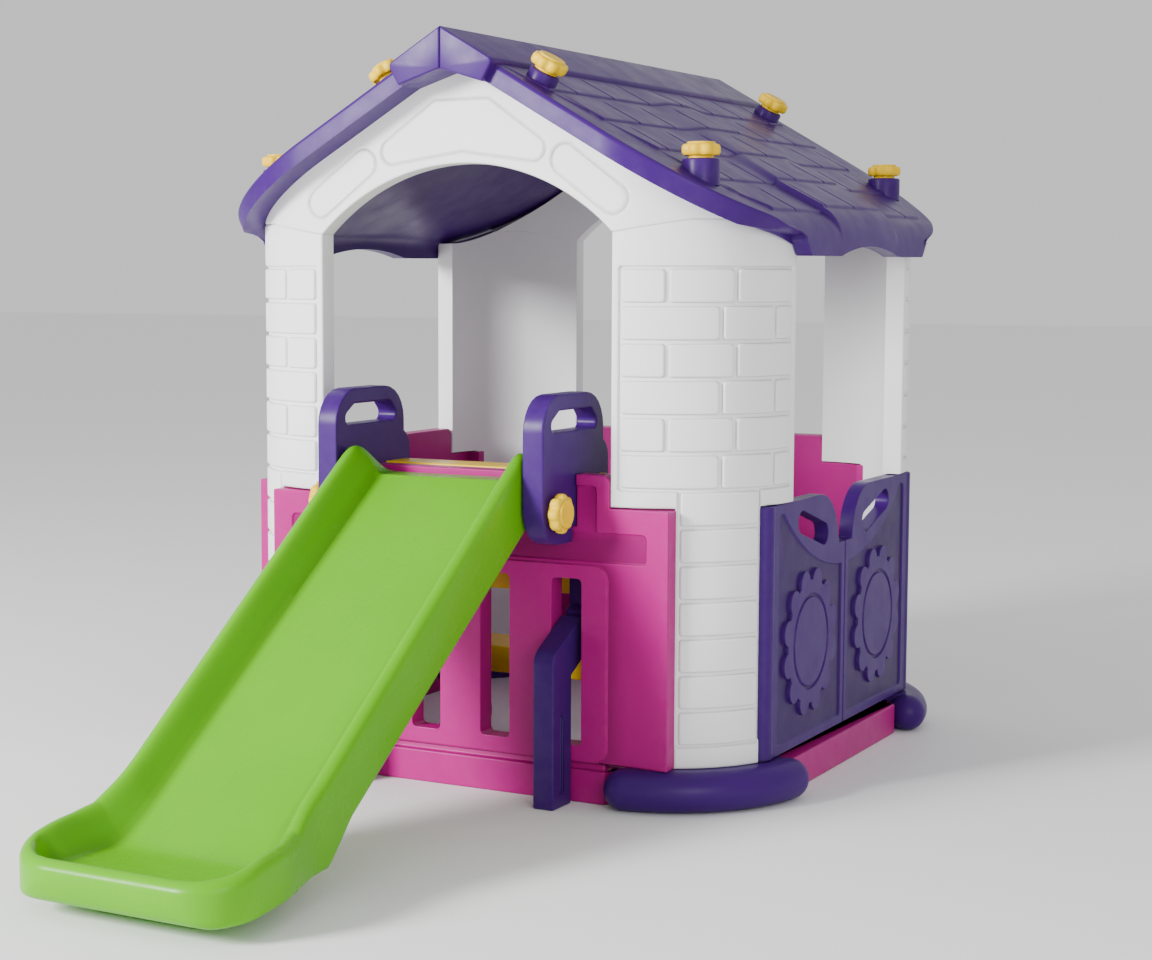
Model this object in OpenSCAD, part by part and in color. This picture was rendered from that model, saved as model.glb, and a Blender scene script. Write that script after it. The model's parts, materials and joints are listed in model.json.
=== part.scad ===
// Plastic playhouse with a slide: corner posts, wall panels, gables, two roof halves,
// a pair of swinging doors, a small ladder inside and a slide outside.
// X runs to the right (door side), Y to the back, Z up; the slide side faces -Y.
// The origin is on the ground under the middle of the whole object, slide included.
// Shapes are drawn about the middle of the house, and placed() moves each finished piece.
// All sizes in mm.

/* [House] */
// Distance between the outside faces of opposite posts
house_w = 1000; // [830:10:1200]
// Height of the seam between the posts and the gables
seam_z = 928; // [860:4:1112]
// Outside radius of a corner post
post_r = 226; // [205:1:245]
// Thickness of post, wall and gable
wall_t = 35; // [28:1:42]

/* [Roof] */
// Fall of the roof for each unit of run
roof_fall = 0.58; // [0.48:0.01:0.70]
// Upright thickness of the roof
roof_t = 37; // [30:1:45]
// Overhang of the roof past the gable walls
verge = 56; // [46:1:68]
// Overhang of the roof past the eave walls
eave = 30; // [26:1:36]

/* [Doors] */
// Radius of the round edge each door turns on
column_r = 20; // [17:1:20]
// Radius of a hinge pin
pin_r = 6; // [5:0.5:7]

/* [Ladder and slide] */
// Distance between the inner faces of the two ladder sides
ladder_gap = 348; // [290:2:350]
// Thickness of a ladder side
ladder_t = 38; // [34:1:40]
// Height of the top tread
tread_top_z = 542; // [530:1:556]
// Fall of the slide for each unit of run
slide_fall = 0.68; // [0.62:0.01:0.76]
// Depth of the slide's sides above its bed
slide_rim = 68; // [56:1:80]

/* [Knobs] */
// Radius of a hand knob
knob_r = 32; // [28:1:34]
// Radius of a knob's stud
stud_r = 5; // [4:0.5:6]

/* [Output] */
// Which piece to make

/* [Hidden] */

$fn = 64;
gap = 0.3;              // left between pieces that only rest beside each other
run_gap = 0.08;         // radial room of a pin or stud that turns in its hole
bite = 1;               // how far a cut runs past a face

purple = [0.36, 0.21, 0.58];
pink = [0.78, 0.11, 0.53];
white = [0.94, 0.94, 0.94];
green = [0.42, 0.76, 0.12];
yellow = [0.98, 0.85, 0.15];
grey = [0.55, 0.55, 0.58];

// House plan
half = house_w / 2;
centre = half - post_r;                 // centre of a corner's curve, in X and in Y
front_edge = centre + 0.46 * post_r;    // where the narrow post meets front and back walls
side_edge = centre + 0.403 * post_r;    // where it meets the side wall and the doors
wall_face = half + 2;                   // outside face of the wall panels
wall_back_face = wall_face - wall_t;

// Heights
rail_h = 56;
seat_z = 68;                            // top of the corner feet: posts and panels stand here
shoulder_z = 487;                       // top of a wall panel under the posts' wide part
ear_z = 489;                            // underside of the posts' wide part
crown_z = 540;                          // top of the middle of a wall panel
crown_x = centre;                       // half width of the raised middle of a wall panel

// Roof lines: height above the middle of the house of each sloping plane
field_z = seam_z + 31 + roof_fall * half;
under_z = field_z - roof_t;
band_rise = 9;                          // ridge band above the tiled field
band_w = 98;
ridge_flat = 78;                        // half width of the thick part under the ridge
ridge_peak = 24;                        // rise of its underside to the middle
ridge_under_z = under_z - roof_fall * ridge_flat;
eave_x = half + eave;
verge_y = half + verge;
eave_z = seam_z - 37;
slope_angle = atan(roof_fall);
band_over = 16;                         // the ridge band runs this far past the verge

// ---------- small helpers ----------

// a finished piece: its colour, and the move from the middle of the house to the origin
module placed(shade) {
  color(shade)
    translate([0, -(slide_front_y + verge_y + band_over) / 2, 0]) children();
}

// area in X and Z, pushed through from y0 to y1
module through_y(y0, y1) {
  translate([0, y1, 0])
    rotate([90, 0, 0])
      linear_extrude(y1 - y0) children();
}

// area in Y and Z, pushed through from x0 to x1
module through_x(x0, x1) {
  translate([x0, 0, 0])
    rotate([90, 0, 90])
      linear_extrude(x1 - x0) children();
}

module box(x0, x1, y0, y1, z0, z1) {
  translate([x0, y0, z0]) cube([x1 - x0, y1 - y0, z1 - z0]);
}

module area(x0, x1, y0, y1) {
  translate([x0, y0]) square([x1 - x0, y1 - y0]);
}

// Outline of a polygon (points anticlockwise) grown by r, with round outer corners
function grown(points, r) = [
  for (i = [0 : len(points) - 1])
    let (
      p = points[i],
      before = p - points[(i + len(points) - 1) % len(points)],
      after = points[(i + 1) % len(points)] - p,
      from = atan2(before[1], before[0]) - 90,
      crossed = before[0] * after[1] - before[1] * after[0],
      bend = atan2(crossed, before * after),
      turn = bend < -179 ? 180 : bend,
      steps = turn > 0 ? ceil(turn / 15) : 0
    )
      for (k = [0 : steps])
        steps > 0
          ? p + r * [cos(from + turn * k / steps), sin(from + turn * k / steps)]
          : p + r / cos(turn / 2) * [cos(from + turn / 2), sin(from + turn / 2)]
];

// straight strip with round ends
module strip(a, b, r) {
  polygon(grown([a, b], r));
}

// polygon grown by r, so its corners are round
module blob(points, r) {
  polygon(grown(points, r));
}

// rectangle with round corners, given by its outside edges
module round_area(x0, x1, y0, y1, r) {
  blob([[x0 + r, y0 + r], [x1 - r, y0 + r], [x1 - r, y1 - r], [x0 + r, y1 - r]], r);
}

// thin outline that follows a blob
module groove(points, r, w) {
  difference() {
    blob(points, r);
    blob(points, r - w);
  }
}

module both_sides() {
  children();
  mirror([1, 0, 0]) children();
}

module four_corners() {
  both_sides() {
    children();
    mirror([0, 1, 0]) children();
  }
}

// plan of the house: a square with round corners, shrunk by s
module plan(s) {
  r = post_r - s;
  reach = half - s;
  area(-centre, centre, -reach, reach);
  area(-reach, reach, -centre, centre);
  for (x = [-centre, centre], y = [-centre, centre])
    translate([x, y]) circle(r, $fn = 128);
}

module plan_shell(z0, z1) {
  translate([0, 0, z0])
    linear_extrude(z1 - z0)
      difference() {
        plan(0);
        plan(wall_t);
      }
}

// ---------- base ----------

foot_in_r = post_r - 46;
nose_r = seat_z / 2;
nose_at_r = post_r + 12;
foot_turn = 9.5;                        // a foot's curve stops this many degrees short of 90
foot_run = 6;                           // and goes on straight for this far
nose_tip = centre + nose_at_r * sin(foot_turn) - foot_run * cos(foot_turn) - nose_r;
rail_out = half;
rail_in = half - 48;

// cross-section of a corner foot: distance from the corner's centre, and height
module foot_section() {
  area(foot_in_r, nose_at_r, 0, seat_z);
  translate([nose_at_r, nose_r]) circle(nose_r);
}

// one end of a foot: a short straight run with a round nose, towards -Y
module foot_end() {
  rotate([90, 0, 0]) linear_extrude(foot_run) foot_section();
  translate([nose_at_r, -foot_run, nose_r]) sphere(nose_r);
}

// foot of the corner at +X +Y
module foot_shape() {
  turn = 90 - 2 * foot_turn;
  translate([centre, centre, 0])
    rotate(foot_turn) {
      rotate_extrude(angle = turn, $fn = 128) foot_section();
      foot_end();
      rotate(turn) mirror([0, 1, 0]) foot_end();
    }
}

// where a rail meets the slanted end of a foot, at a distance y from the middle of the house
function rail_end(y) = centre + (y - centre) * tan(foot_turn) - (foot_run + gap) / cos(foot_turn);

// Straight rail along the front.  Its outside tapers at each end to pass behind the feet.
module rail_shape(with_tongue) {
  flat = nose_tip - 8;
  taper_end = nose_tip + 12;
  behind = rail_out - 28;
  linear_extrude(rail_h)
    polygon([
      [-rail_end(rail_in), -rail_in], [rail_end(rail_in), -rail_in],
      [rail_end(behind), -behind], [taper_end, -behind], [flat, -rail_out],
      [-flat, -rail_out], [-taper_end, -behind], [-rail_end(behind), -behind]
    ]);
  if (with_tongue)
    box(-flat, flat, -wall_face + 7, -wall_back_face - 7, rail_h - bite, seat_z);
}

module base_front_rail() { placed(pink) rail_shape(true); }
module base_back_rail() { placed(pink) mirror([0, 1, 0]) rail_shape(true); }
module base_left_rail() { placed(pink) rotate(-90) rail_shape(true); }

// The sill under the doors carries a lip that the closed doors rest against
module base_door_sill() {
  lip_out = leaf_in_x - 1;
  placed(pink) {
    rotate(90) rail_shape(false);
    box(lip_out - 9, lip_out, -nose_tip, nose_tip, rail_h - bite, seat_z + 12);
  }
}

module hinge_foot_shape() {
  difference() {
    foot_shape();
    translate([hinge_x, hinge_y, seat_z - pin_deep]) cylinder(r = pin_r, h = pin_deep + bite);
  }
}

module corner_foot_back_right() { placed(purple) hinge_foot_shape(); }
module corner_foot_front_right() { placed(purple) mirror([0, 1, 0]) hinge_foot_shape(); }
module corner_foot_back_left() { placed(purple) mirror([1, 0, 0]) foot_shape(); }
module corner_foot_front_left() { placed(purple) rotate(180) foot_shape(); }

// ---------- corner posts ----------

brick_top = seam_z - 55;
brick_pitch = 59.2;
brick_rows_wide = 6;
brick_rows_narrow = 7;
mortar = 5;
mortar_deep = 3;
// angles round the post's curve, measured from the side wall towards the front wall
wide_from = 3.5;
wide_to = 86.5;
narrow_from = 24.5;
narrow_to = 61.5;
odd_joints = [37.7, 66.8];
even_joints = [16.4, 44.1];

// cut into the post's curve between two angles and two heights
module ring_cut(a0, a1, z0, z1) {
  rotate([0, 0, a0])
    rotate_extrude(angle = a1 - a0, $fn = 128)
      area(post_r - mortar_deep, post_r + bite, z0, z1);
}

module joint_cut(a, z0, z1) {
  spread = mortar / post_r * 90 / PI;
  ring_cut(a - spread, a + spread, z0, z1);
}

module mortar_cuts() {
  step_z = brick_top - brick_rows_wide * brick_pitch;
  low_z = step_z - brick_rows_narrow * brick_pitch;
  for (row = [0 : brick_rows_wide])
    ring_cut(wide_from, wide_to, brick_top - row * brick_pitch - mortar / 2,
             brick_top - row * brick_pitch + mortar / 2);
  for (row = [0 : brick_rows_wide - 1])
    for (a = (row % 2 == 0) ? odd_joints : even_joints)
      joint_cut(a, brick_top - (row + 1) * brick_pitch, brick_top - row * brick_pitch);
  joint_cut(wide_from, step_z, brick_top);
  joint_cut(wide_to, step_z, brick_top);
  for (row = [1 : brick_rows_narrow])
    ring_cut(narrow_from, narrow_to, step_z - row * brick_pitch - mortar / 2,
             step_z - row * brick_pitch + mortar / 2);
  joint_cut(narrow_from, low_z, step_z);
  joint_cut(narrow_to, low_z, step_z);
}

// upper edge of the posts and lower edge of the gables, in X and Z
module seam_area() {
  polygon([
    [0, 0], [eave_x, 0], [eave_x, seam_z + 20], [centre + 126, seam_z + 20],
    [crown_x, seam_z], [0, seam_z]
  ]);
}

// post of the corner at +X +Y
module post_shape() {
  difference() {
    intersection() {
      translate([centre, centre, 0])
        union() {
          rotate_extrude(angle = 90, $fn = 128)
            area(post_r - wall_t, post_r, ear_z, seam_z + 40);
          intersection() {
            rotate_extrude(angle = 90, $fn = 128)
              area(post_r - wall_t, post_r, seat_z, ear_z + bite);
            box(front_edge - centre, post_r, side_edge - centre, post_r, 0, ear_z + bite);
          }
        }
      through_y(0, house_w) seam_area();
      through_y(0, house_w) translate([0, -gap]) under_slope(under_z, half + 2 - gap, 30);
    }
    translate([centre, centre, 0]) mortar_cuts();
    translate([lower_knob_x, lower_knob_y, seam_z - 40]) cylinder(r = stud_r + run_gap, h = 100);
  }
}

module hinge_post_shape() {
  difference() {
    post_shape();
    translate([hinge_x, hinge_y, ear_z - bite]) cylinder(r = pin_r, h = pin_deep + bite);
  }
}

module post_back_right() { placed(white) hinge_post_shape(); }
module post_front_right() { placed(white) mirror([0, 1, 0]) hinge_post_shape(); }
module post_back_left() { placed(white) mirror([1, 0, 0]) post_shape(); }
module post_front_left() { placed(white) rotate(180) post_shape(); }

// ---------- wall panels ----------

slot_w = 54;
frame_in = ladder_gap / 2;
frame_out = frame_in + ladder_t;
slot_pitch = (frame_in + ladder_t / 2 + 6) / 1.5;  // the ladder sides pass through the outer slots

// outline of a wall panel, in X and Z
module wall_outline(edge) {
  area(-edge, edge, seat_z, shoulder_z);
  round_area(-crown_x + gap, crown_x - gap, seat_z + 200, crown_z, 14);
}

// panel at the front (-Y) without openings: raised lower field, sunk upper band, edge ribs
module wall_blank(edge) {
  rib = 24;
  rib_deep = 27;
  difference() {
    union() {
      through_y(-wall_face, -wall_back_face) wall_outline(edge);
      through_y(-wall_face - 4, -wall_face + bite)
        round_area(-crown_x + 2, crown_x - 2, seat_z + 2, 393, 24);
      for (s = [-1, 1])
        through_y(-wall_back_face - bite, -wall_back_face + rib_deep)
          area(s > 0 ? edge - rib : -edge, s > 0 ? edge : rib - edge, seat_z, shoulder_z);
    }
    through_y(-wall_face - bite, -wall_face + 3) {
      round_area(-edge + 39, edge - 39, 399, 447, 8);
      round_area(-crown_x + 24, crown_x - 24, 420, crown_z - 18, 8);
    }
  }
}

// the two notches that the ladder sides pass over, and the four slots
module front_wall_cuts() {
  for (s = [-1, 1])
    box(s > 0 ? frame_in - 1.5 : -frame_out - 1.5, s > 0 ? frame_out + 1.5 : -frame_in + 1.5,
        -wall_face - 10, 0, notch_z, crown_z + 10);
  for (i = [-1.5 : 1.5])
    through_y(-wall_face - 10, 0)
      round_area(i * slot_pitch - slot_w / 2, i * slot_pitch + slot_w / 2, 96, 370, 8);
}

module wall_front() {
  placed(pink)
    difference() {
      wall_blank(front_edge);
      front_wall_cuts();
    }
}
module wall_back() { placed(pink) mirror([0, 1, 0]) wall_blank(front_edge); }
module wall_left() { placed(pink) rotate(-90) wall_blank(side_edge); }

// ---------- doors ----------

hinge_x = half - 26;
hinge_y = side_edge - column_r - 1;
leaf_out_x = hinge_x + column_r - 2;
leaf_in_x = leaf_out_x - 26;
leaf_z = seat_z + 2;
pin_deep = 22;
loop_y = 125;
loop_r = 90;
bowl_r = 437;                           // curve above the sunk part of the doors
bowl_low_z = 356;
scallop_r = 106;
scallop_bumps = 12;

// front door leaf in Y and Z: straight below, then a round shoulder beside the middle
module leaf_outline() {
  low_top = 395;
  area(-hinge_y, -1.5, leaf_z, low_top);
  area(-hinge_y, -loop_y, low_top - bite, shoulder_z);
  translate([-loop_y, shoulder_z - loop_r]) circle(loop_r);
}

module leaf_shape() {
  oval = [2 - hinge_y / 2, 241];        // middle of the round panel
  difference() {
    union() {
      through_x(leaf_in_x, leaf_out_x)
        intersection() {
          leaf_outline();
          area(-hinge_y, -1.5, 0, shoulder_z);
        }
      translate([hinge_x, -hinge_y, leaf_z]) cylinder(r = column_r, h = shoulder_z - leaf_z);
      through_x(leaf_out_x - bite, leaf_out_x + 3)
        translate(oval) scallop(scallop_r, scallop_bumps);
    }
    // sunk panel round the oval
    through_x(leaf_out_x - 3, leaf_out_x + bite)
      difference() {
        round_area(-hinge_y + 30, -18, leaf_z + 16, shoulder_z - 17, 10);
        translate([0, bowl_low_z + bowl_r]) circle(bowl_r, $fn = 128);
        translate(oval) scallop(scallop_r, scallop_bumps);
      }
    through_x(leaf_out_x - 1, leaf_out_x + 4)
      translate(oval)
        difference() {
          circle(82);
          circle(76);
        }
    // finger loop
    through_x(leaf_in_x - bite, leaf_out_x + bite + 4)
      strip([-210, 448], [-106, 418], 19);
    // holes for the pins
    for (z = [leaf_z - bite, shoulder_z - pin_deep])
      translate([hinge_x, -hinge_y, z]) cylinder(r = pin_r + run_gap, h = pin_deep + bite);
  }
}

// disc with n round bumps along its edge
module scallop(r, n) {
  circle(r);
  for (i = [0 : n - 1])
    rotate((i + 0.5) * 360 / n)
      translate([r - 2, 0]) circle(r * PI / n * 0.8);
}

module door_leaf_front() { placed(purple) leaf_shape(); }
module door_leaf_back() { placed(purple) mirror([0, 1, 0]) leaf_shape(); }

// Four pins: one below and one above each leaf, each with a thin collar
module hinge_pins() {
  placed(grey)
    for (s = [-1, 1])
      translate([hinge_x, s * hinge_y, 0]) {
        translate([0, 0, seat_z - pin_deep]) cylinder(r = pin_r, h = 2 * pin_deep - 4);
        translate([0, 0, seat_z]) cylinder(r = pin_r + 5, h = leaf_z - seat_z - gap);
        translate([0, 0, ear_z - pin_deep + 6]) cylinder(r = pin_r, h = 2 * pin_deep - 6);
      }
}

// ---------- gables ----------

arch_rise = 114;
arch_r = (crown_x * crown_x + arch_rise * arch_rise) / (2 * arch_rise);
arch_half = atan2(crown_x, arch_r - arch_rise);  // half the angle of the arch
arch_steps = 24;

// Area under a roof plane for x from 0 to edge, with a rounded corner at the eave.
// top is the plane's height over the middle of the house.
module under_slope(top, edge, r) {
  cx = edge - r;
  cz = top - roof_fall * cx - r / cos(slope_angle);
  corner_steps = 5;
  polygon(concat(
    [[0, 0], [0, top]],
    [for (i = [0 : corner_steps])
      let (a = (90 - slope_angle) * (1 - i / corner_steps))
        [cx + r * cos(a), cz + r * sin(a)]],
    [[edge, 0]]
  ));
}

// everything lower than the shallow peak under the ridge
module below_ridge_block() {
  polygon([
    [0, 0], [0, ridge_under_z + ridge_peak], [2 * ridge_flat, ridge_under_z - ridge_peak],
    [eave_x, ridge_under_z - ridge_peak], [eave_x, 0]
  ]);
}

module gable_half_outline() {
  difference() {
    intersection() {
      translate([0, -gap]) under_slope(under_z, half + 2 - gap, 30);
      translate([0, -gap]) below_ridge_block();
    }
    seam_area();
    polygon(concat([[0, seam_z]], [
      for (i = [0 : arch_steps])
        [arch_r * sin(arch_half * i / arch_steps),
         seam_z + arch_rise - arch_r * (1 - cos(arch_half * i / arch_steps))]
    ]));
  }
}

gable_emblem = [[-133, 1064], [0, 1083], [133, 1064], [0, 1133]];
gable_pill = [[-276, 982], [-191, 1045]];

module gable_grooves() {
  lift = seam_z - 928;
  translate([0, lift]) {
    groove(gable_emblem, 24, 4);
    for (s = [0, 1])
      mirror([s, 0])
        difference() {
          strip(gable_pill[0], gable_pill[1], 28);
          strip(gable_pill[0], gable_pill[1], 24);
        }
  }
}

module gable_shape() {
  difference() {
    intersection() {
      plan_shell(seam_z - 10, ridge_under_z + ridge_peak);
      through_y(-half - bite, -centre + 1)
        union() {
          gable_half_outline();
          mirror([1, 0]) gable_half_outline();
        }
    }
    through_y(-half - bite, -half + 2.5) gable_grooves();
    both_sides() mirror([0, 1, 0]) {
      upper_knob_place() translate([0, 0, -100]) cylinder(r = stud_r + run_gap, h = 100);
      lower_knob_place() translate([0, 0, -140]) cylinder(r = stud_r + run_gap, h = 140);
    }
  }
}

module gable_front() { placed(white) gable_shape(); }
module gable_back() { placed(white) mirror([0, 1, 0]) gable_shape(); }

// ---------- roof ----------

roof_corner_r = post_r + 19;
seat_rise = 19;                         // top of the bosses under the upper knobs
tile_from = 84;
tile_rows = 5;
tile_step = (eave_x - 36 - tile_from) / tile_rows;
tile_rise = 5;
middle_y = 147;                         // half length of the raised middle part
middle_rise = 10;

// area of the roof's slab with a drip edge at the eave
module slab_area(top) {
  difference() {
    intersection() {
      under_slope(top, eave_x, 60);
      area(gap / 2, eave_x, eave_z, top);
    }
    intersection() {
      under_slope(under_z, half + 2, 30);
      below_ridge_block();
    }
  }
}

// one wedge for each course of tiles
module course_area(lift) {
  for (i = [0 : tile_rows - 1]) {
    a = tile_from + i * tile_step;
    b = a + tile_step;
    polygon([
      [a, field_z + lift - roof_fall * a - 2],
      [a, field_z + lift - roof_fall * a + 1],
      [b, field_z + lift - roof_fall * b + tile_rise],
      [b, field_z + lift - roof_fall * b - 2]
    ]);
  }
}

module roof_plan() {
  cx = eave_x - roof_corner_r;
  cy = verge_y - roof_corner_r;
  area(0, cx, -verge_y, verge_y);
  area(0, eave_x, -cy, cy);
  for (s = [-1, 1])
    translate([cx, s * cy]) circle(roof_corner_r, $fn = 128);
}

module roof_shape() {
  arch = 17;
  arch_cut_r = (middle_y * middle_y + arch * arch) / (2 * arch);
  difference() {
    union() {
      intersection() {
        union() {
          through_y(-verge_y, verge_y) slab_area(field_z);
          through_y(-verge_y + 16, verge_y - 16) course_area(0);
          through_y(-middle_y, middle_y) {
            course_area(middle_rise);
            intersection() {
              slab_area(field_z + middle_rise);
              area(band_w, eave_x, eave_z, field_z);
            }
          }
        }
        linear_extrude(field_z + 100) roof_plan();
      }
      // ridge band, a little longer than the field
      through_y(-verge_y - band_over, verge_y + band_over)
        intersection() {
          difference() {
            under_slope(field_z + band_rise, eave_x, 60);
            below_ridge_block();
            under_slope(under_z, half + 2, 30);
          }
          area(gap / 2, band_w, 0, field_z + band_rise);
        }
      for (s = [0, 1])
        mirror([0, s, 0]) {
          upper_knob_place() translate([0, 0, -seat_rise - 4]) cylinder(r = 26, h = seat_rise + 4);
          lower_knob_place() translate([0, 0, -40]) cylinder(r = 30, h = 40);
        }
    }
    // shallow arch under the middle of the eave
    translate([half - 20, 0, eave_z + arch - arch_cut_r])
      rotate([0, 90, 0]) cylinder(r = arch_cut_r, h = 80, $fn = 128);
    for (s = [0, 1])
      mirror([0, s, 0]) {
        upper_knob_place() translate([0, 0, -100]) cylinder(r = stud_r + run_gap, h = 120);
        lower_knob_place() translate([0, 0, -140]) cylinder(r = stud_r + run_gap, h = 160);
      }
    lower_boss_under_cut();
  }
}

// keeps the round bosses from reaching below the roof's own underside
module lower_boss_under_cut() {
  through_y(-verge_y, verge_y)
    intersection() {
      under_slope(under_z, half + 2, 30);
      below_ridge_block();
    }
}

module roof_right() { placed(purple) roof_shape(); }
module roof_left() { placed(purple) mirror([1, 0, 0]) roof_shape(); }

// ---------- knobs ----------

knob_h = 26;
upper_knob_x = 137;
shell_mid = post_r - wall_t / 2;
lower_knob_x = centre + 0.607 * shell_mid;
lower_knob_y = centre + 0.795 * shell_mid;
lower_knob_z = field_z - roof_fall * lower_knob_x + 26;

// seats of the two roof knobs at +X +Y: origin on the boss, Z along the stud
module upper_knob_place() {
  translate([upper_knob_x, half - wall_t / 2, field_z - roof_fall * upper_knob_x])
    rotate([0, slope_angle, 0])
      translate([0, 0, seat_rise]) children();
}
module lower_knob_place() {
  translate([lower_knob_x, lower_knob_y, lower_knob_z]) children();
}

// seats of the two knobs on the right ladder side, Z pointing outwards
module slide_knob_place() {
  translate([frame_out, slide_stud[0], slide_stud[1]]) rotate([0, 90, 0]) children();
}
module tread_knob_place() {
  translate([frame_out, tread_stud[0], tread_stud[1]]) rotate([0, 90, 0]) children();
}

// Hand knob: eight lobes round a hub, a raised face, and a stud below
module knob(stud) {
  lobe_r = 0.2 * knob_r;
  hub_r = knob_r - lobe_r - 1;
  translate([0, 0, gap]) {
    cylinder(r = 0.62 * knob_r, h = 5);
    translate([0, 0, 4])
      linear_extrude(knob_h - 8) {
        circle(hub_r);
        for (i = [0 : 7])
          rotate(i * 45) translate([knob_r - lobe_r, 0]) circle(lobe_r);
      }
    translate([0, 0, knob_h - 5]) cylinder(r = 0.72 * knob_r, h = 5);
  }
  translate([0, 0, -stud]) cylinder(r = stud_r, h = stud + 6);
}

upper_stud = seat_rise + roof_t + 34;
lower_stud = lower_knob_z - seam_z + 20;
side_stud = ladder_t + 20;

module upper_knob_shape() { upper_knob_place() knob(upper_stud); }
module roof_knob_upper_back_right() { placed(yellow) upper_knob_shape(); }
module roof_knob_upper_front_right() { placed(yellow) mirror([0, 1, 0]) upper_knob_shape(); }
module roof_knob_upper_back_left() { placed(yellow) mirror([1, 0, 0]) upper_knob_shape(); }
module roof_knob_upper_front_left() { placed(yellow) rotate(180) upper_knob_shape(); }

module lower_knob_shape() { lower_knob_place() knob(lower_stud); }
module roof_knob_lower_back_right() { placed(yellow) lower_knob_shape(); }
module roof_knob_lower_front_right() { placed(yellow) mirror([0, 1, 0]) lower_knob_shape(); }
module roof_knob_lower_back_left() { placed(yellow) mirror([1, 0, 0]) lower_knob_shape(); }
module roof_knob_lower_front_left() { placed(yellow) rotate(180) lower_knob_shape(); }

module slide_knob_right() { placed(yellow) slide_knob_place() knob(side_stud); }
module slide_knob_left() { placed(yellow) mirror([1, 0, 0]) slide_knob_place() knob(side_stud); }
module tread_knob_right() { placed(yellow) tread_knob_place() knob(side_stud); }
module tread_knob_left() { placed(yellow) mirror([1, 0, 0]) tread_knob_place() knob(side_stud); }

// ---------- ladder ----------

plate_front = -wall_face - 111;
plate_back = -wall_face + 107;
plate_r = 60;
plate_low_z = 430;
plate_top_z = 671;
notch_z = 455;
leg_y = -wall_face + 91;
leg_r = 35;
slide_stud = [-wall_face - 76, 484];
tread_stud = [-wall_back_face + 39, tread_top_z - 37];
ladder_foot_y = -wall_face + 382;
tread_end_r = 8;

// the climbing leg runs from the plate down to the floor inside the house
function climb_y(z) = leg_y + (ladder_foot_y - leg_y) * (500 - z) / 460;

// right ladder side, in Y and Z
module ladder_outline() {
  foot_out = -wall_face - 73;
  foot_in = -wall_face - 7;
  difference() {
    union() {
      round_area(plate_front, plate_back, plate_low_z, plate_top_z, plate_r);
      strip([leg_y, 560], [leg_y, 300], leg_r);
      strip([leg_y, 300], [-wall_face - 40, 232], 33);
      round_area(foot_out, foot_in, 0, 262, 26);
      area(foot_out, foot_in, 0, 40);
      intersection() {
        strip([climb_y(500), 500], [climb_y(40), 40], 42);
        area(-half, half, 0, 600);
      }
    }
    // notch that sits on the wall
    area(-wall_face - 4, -wall_back_face + 4, 0.45 * crown_z + 60, notch_z + gap);
    // hand hole
    blob([[plate_front + 42, 622], [plate_back - 40, 622], [plate_back - 52, 634],
          [plate_front + 62, 634]], 11);
    // opening between the upright and the climbing leg
    intersection() {
      blob([[leg_y + leg_r + 32, 395], [leg_y + leg_r + 34, 240], [climb_y(240) - 76, 240]], 10);
      area(-half, half, 0, 600);
    }
  }
}

module ladder_side() {
  difference() {
    through_x(frame_in, frame_out) ladder_outline();
    for (p = [slide_stud, tread_stud])
      translate([frame_in - bite, p[0], p[1]])
        rotate([0, 90, 0]) cylinder(r = stud_r + run_gap, h = ladder_t + 2 * bite);
    // groove down the foot's outside
    box(frame_out - 4, frame_out + bite, -wall_face - 46, -wall_face - 34, 24, 150);
    for (z = [tread_middle_z, tread_low_z], s = [-1, 1])
      translate([frame_in - bite, climb_y(z - 24) + s * 26, z - 24])
        rotate([0, 90, 0]) cylinder(r = tread_end_r + 0.2, h = 22);
  }
}

module ladder_frame_right() { placed(purple) ladder_side(); }
module ladder_frame_left() { placed(purple) mirror([1, 0, 0]) ladder_side(); }

tread_middle_z = 370;
tread_low_z = 200;
tread_h = 48;

// hollow tread with closed ends: y0 to y1 deep, top at z
module tread_body(y0, y1, z, h) {
  wall = 8;
  end_block = 32;
  reach = frame_in - gap;
  difference() {
    box(-reach, reach, y0, y1, z - h, z);
    box(-reach + end_block, reach - end_block, y0 + wall, y1 - wall, z - h - bite, z - wall);
  }
}

// lower treads hang on two pegs at each end
module pegged_tread(z) {
  mid = climb_y(z - 24);
  tread_body(mid - 58, mid + 58, z, tread_h);
  for (sx = [-1, 1], sy = [-1, 1])
    translate([sx * (frame_in - gap), mid + sy * 26, z - 24])
      rotate([0, sx * 90, 0]) cylinder(r = tread_end_r, h = 20);
}

module tread_top() {
  placed(yellow)
    difference() {
      tread_body(tread_stud[0] - 34, tread_stud[0] + 34, tread_top_z, 56);
      for (s = [-1, 1])
        translate([s * (frame_in - 25), tread_stud[0], tread_stud[1]])
          rotate([0, s * 90, 0]) cylinder(r = stud_r + run_gap, h = 30);
    }
}
module tread_middle() { placed(yellow) pegged_tread(tread_middle_z); }
module tread_low() { placed(yellow) pegged_tread(tread_low_z); }

// ---------- slide ----------

slide_half = frame_in - 4;
slide_wall = 28;
slide_top_z = 530;
run_floor_z = 60;
slide_end_y = -wall_face - 8;
slope_top_y = -wall_face - 62;
fold_y = slope_top_y - (slide_top_z - run_floor_z) / slide_fall;
slide_front_y = fold_y - 185;
run_half = slide_half + 22;

function bed_z(y) = run_floor_z + slide_fall * (y - fold_y);

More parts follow.
